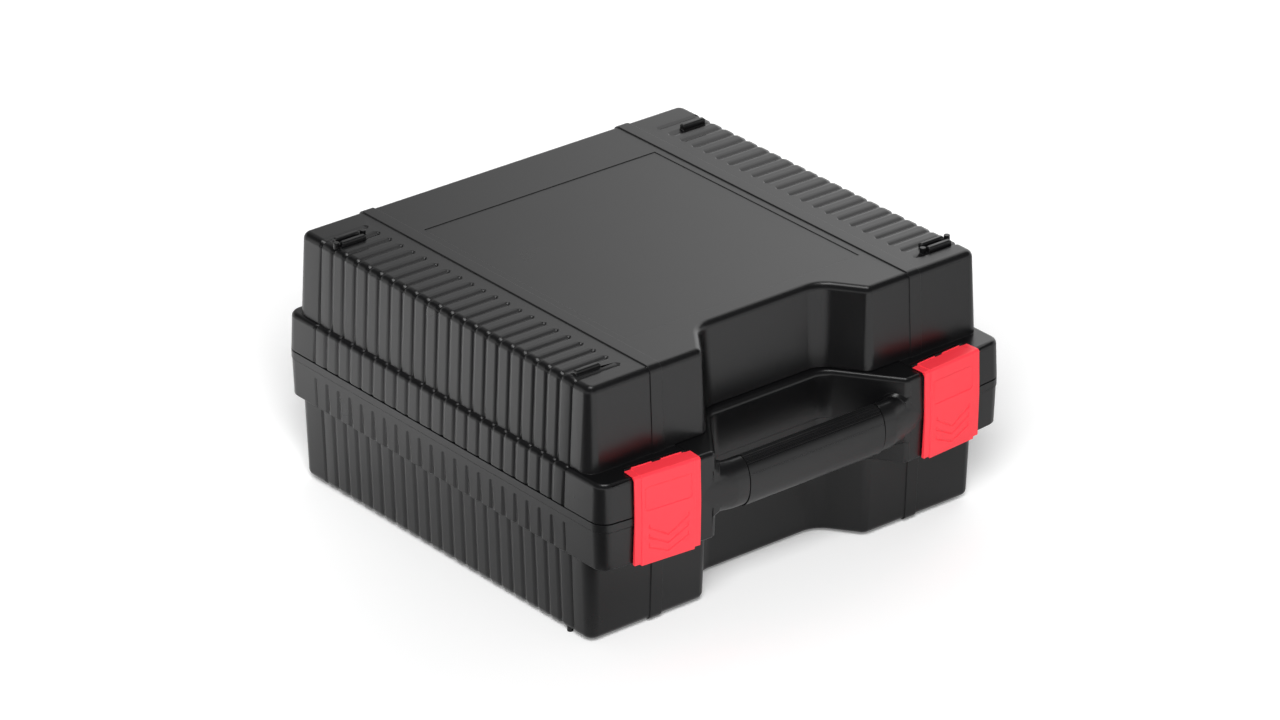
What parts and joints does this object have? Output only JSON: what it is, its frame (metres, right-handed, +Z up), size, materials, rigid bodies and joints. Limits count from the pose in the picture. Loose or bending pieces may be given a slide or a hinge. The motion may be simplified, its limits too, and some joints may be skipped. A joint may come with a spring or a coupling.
{
  "type": "hard transport case",
  "caption": "Hard moulded transport case with ribbed sides, a hinged lid, snap latches, a carrying handle in a front pocket and stacking lugs.",
  "frame": {"origin": "on the ground under the middle of the closed case", "axes": "+X along the front to the right, +Y to the hinges at the back, +Z up"},
  "size_m": [0.35, 0.3668, 0.1915],
  "materials": {
    "shell": "fine satin moulded polypropylene, black",
    "grip": "satin moulded polypropylene, black",
    "latch": "satin moulded plastic, red",
    "pin": "bright drawn steel"
  },
  "bodies": {
    "base": {"base_shell": "shell", "grip_upper": "grip", "grip_lower": "grip", "hinge_pin_left": "pin", "hinge_pin_right": "pin"},
    "lid": {"lid_shell": "shell"},
    "latch_left": {"latch_left": "latch"},
    "latch_right": {"latch_right": "latch"}
  },
  "joints": [
    {"name": "lid_hinge", "type": "hinge", "parent": "base", "child": "lid", "pos_m": [0, 0.1789, 0.09935], "axis": [-1, 0, 0], "range_deg": [0, 100]},
    {"name": "latch_left_hinge", "type": "hinge", "parent": "lid", "child": "latch_left", "pos_m": [-0.12253, -0.16156, 0.1268], "axis": [-0.997, 0.0773, 0], "range_deg": [0, 100]},
    {"name": "latch_right_hinge", "type": "hinge", "parent": "lid", "child": "latch_right", "pos_m": [0.12253, -0.16156, 0.1268], "axis": [-0.997, -0.0773, 0], "range_deg": [0, 100]}
  ]
}
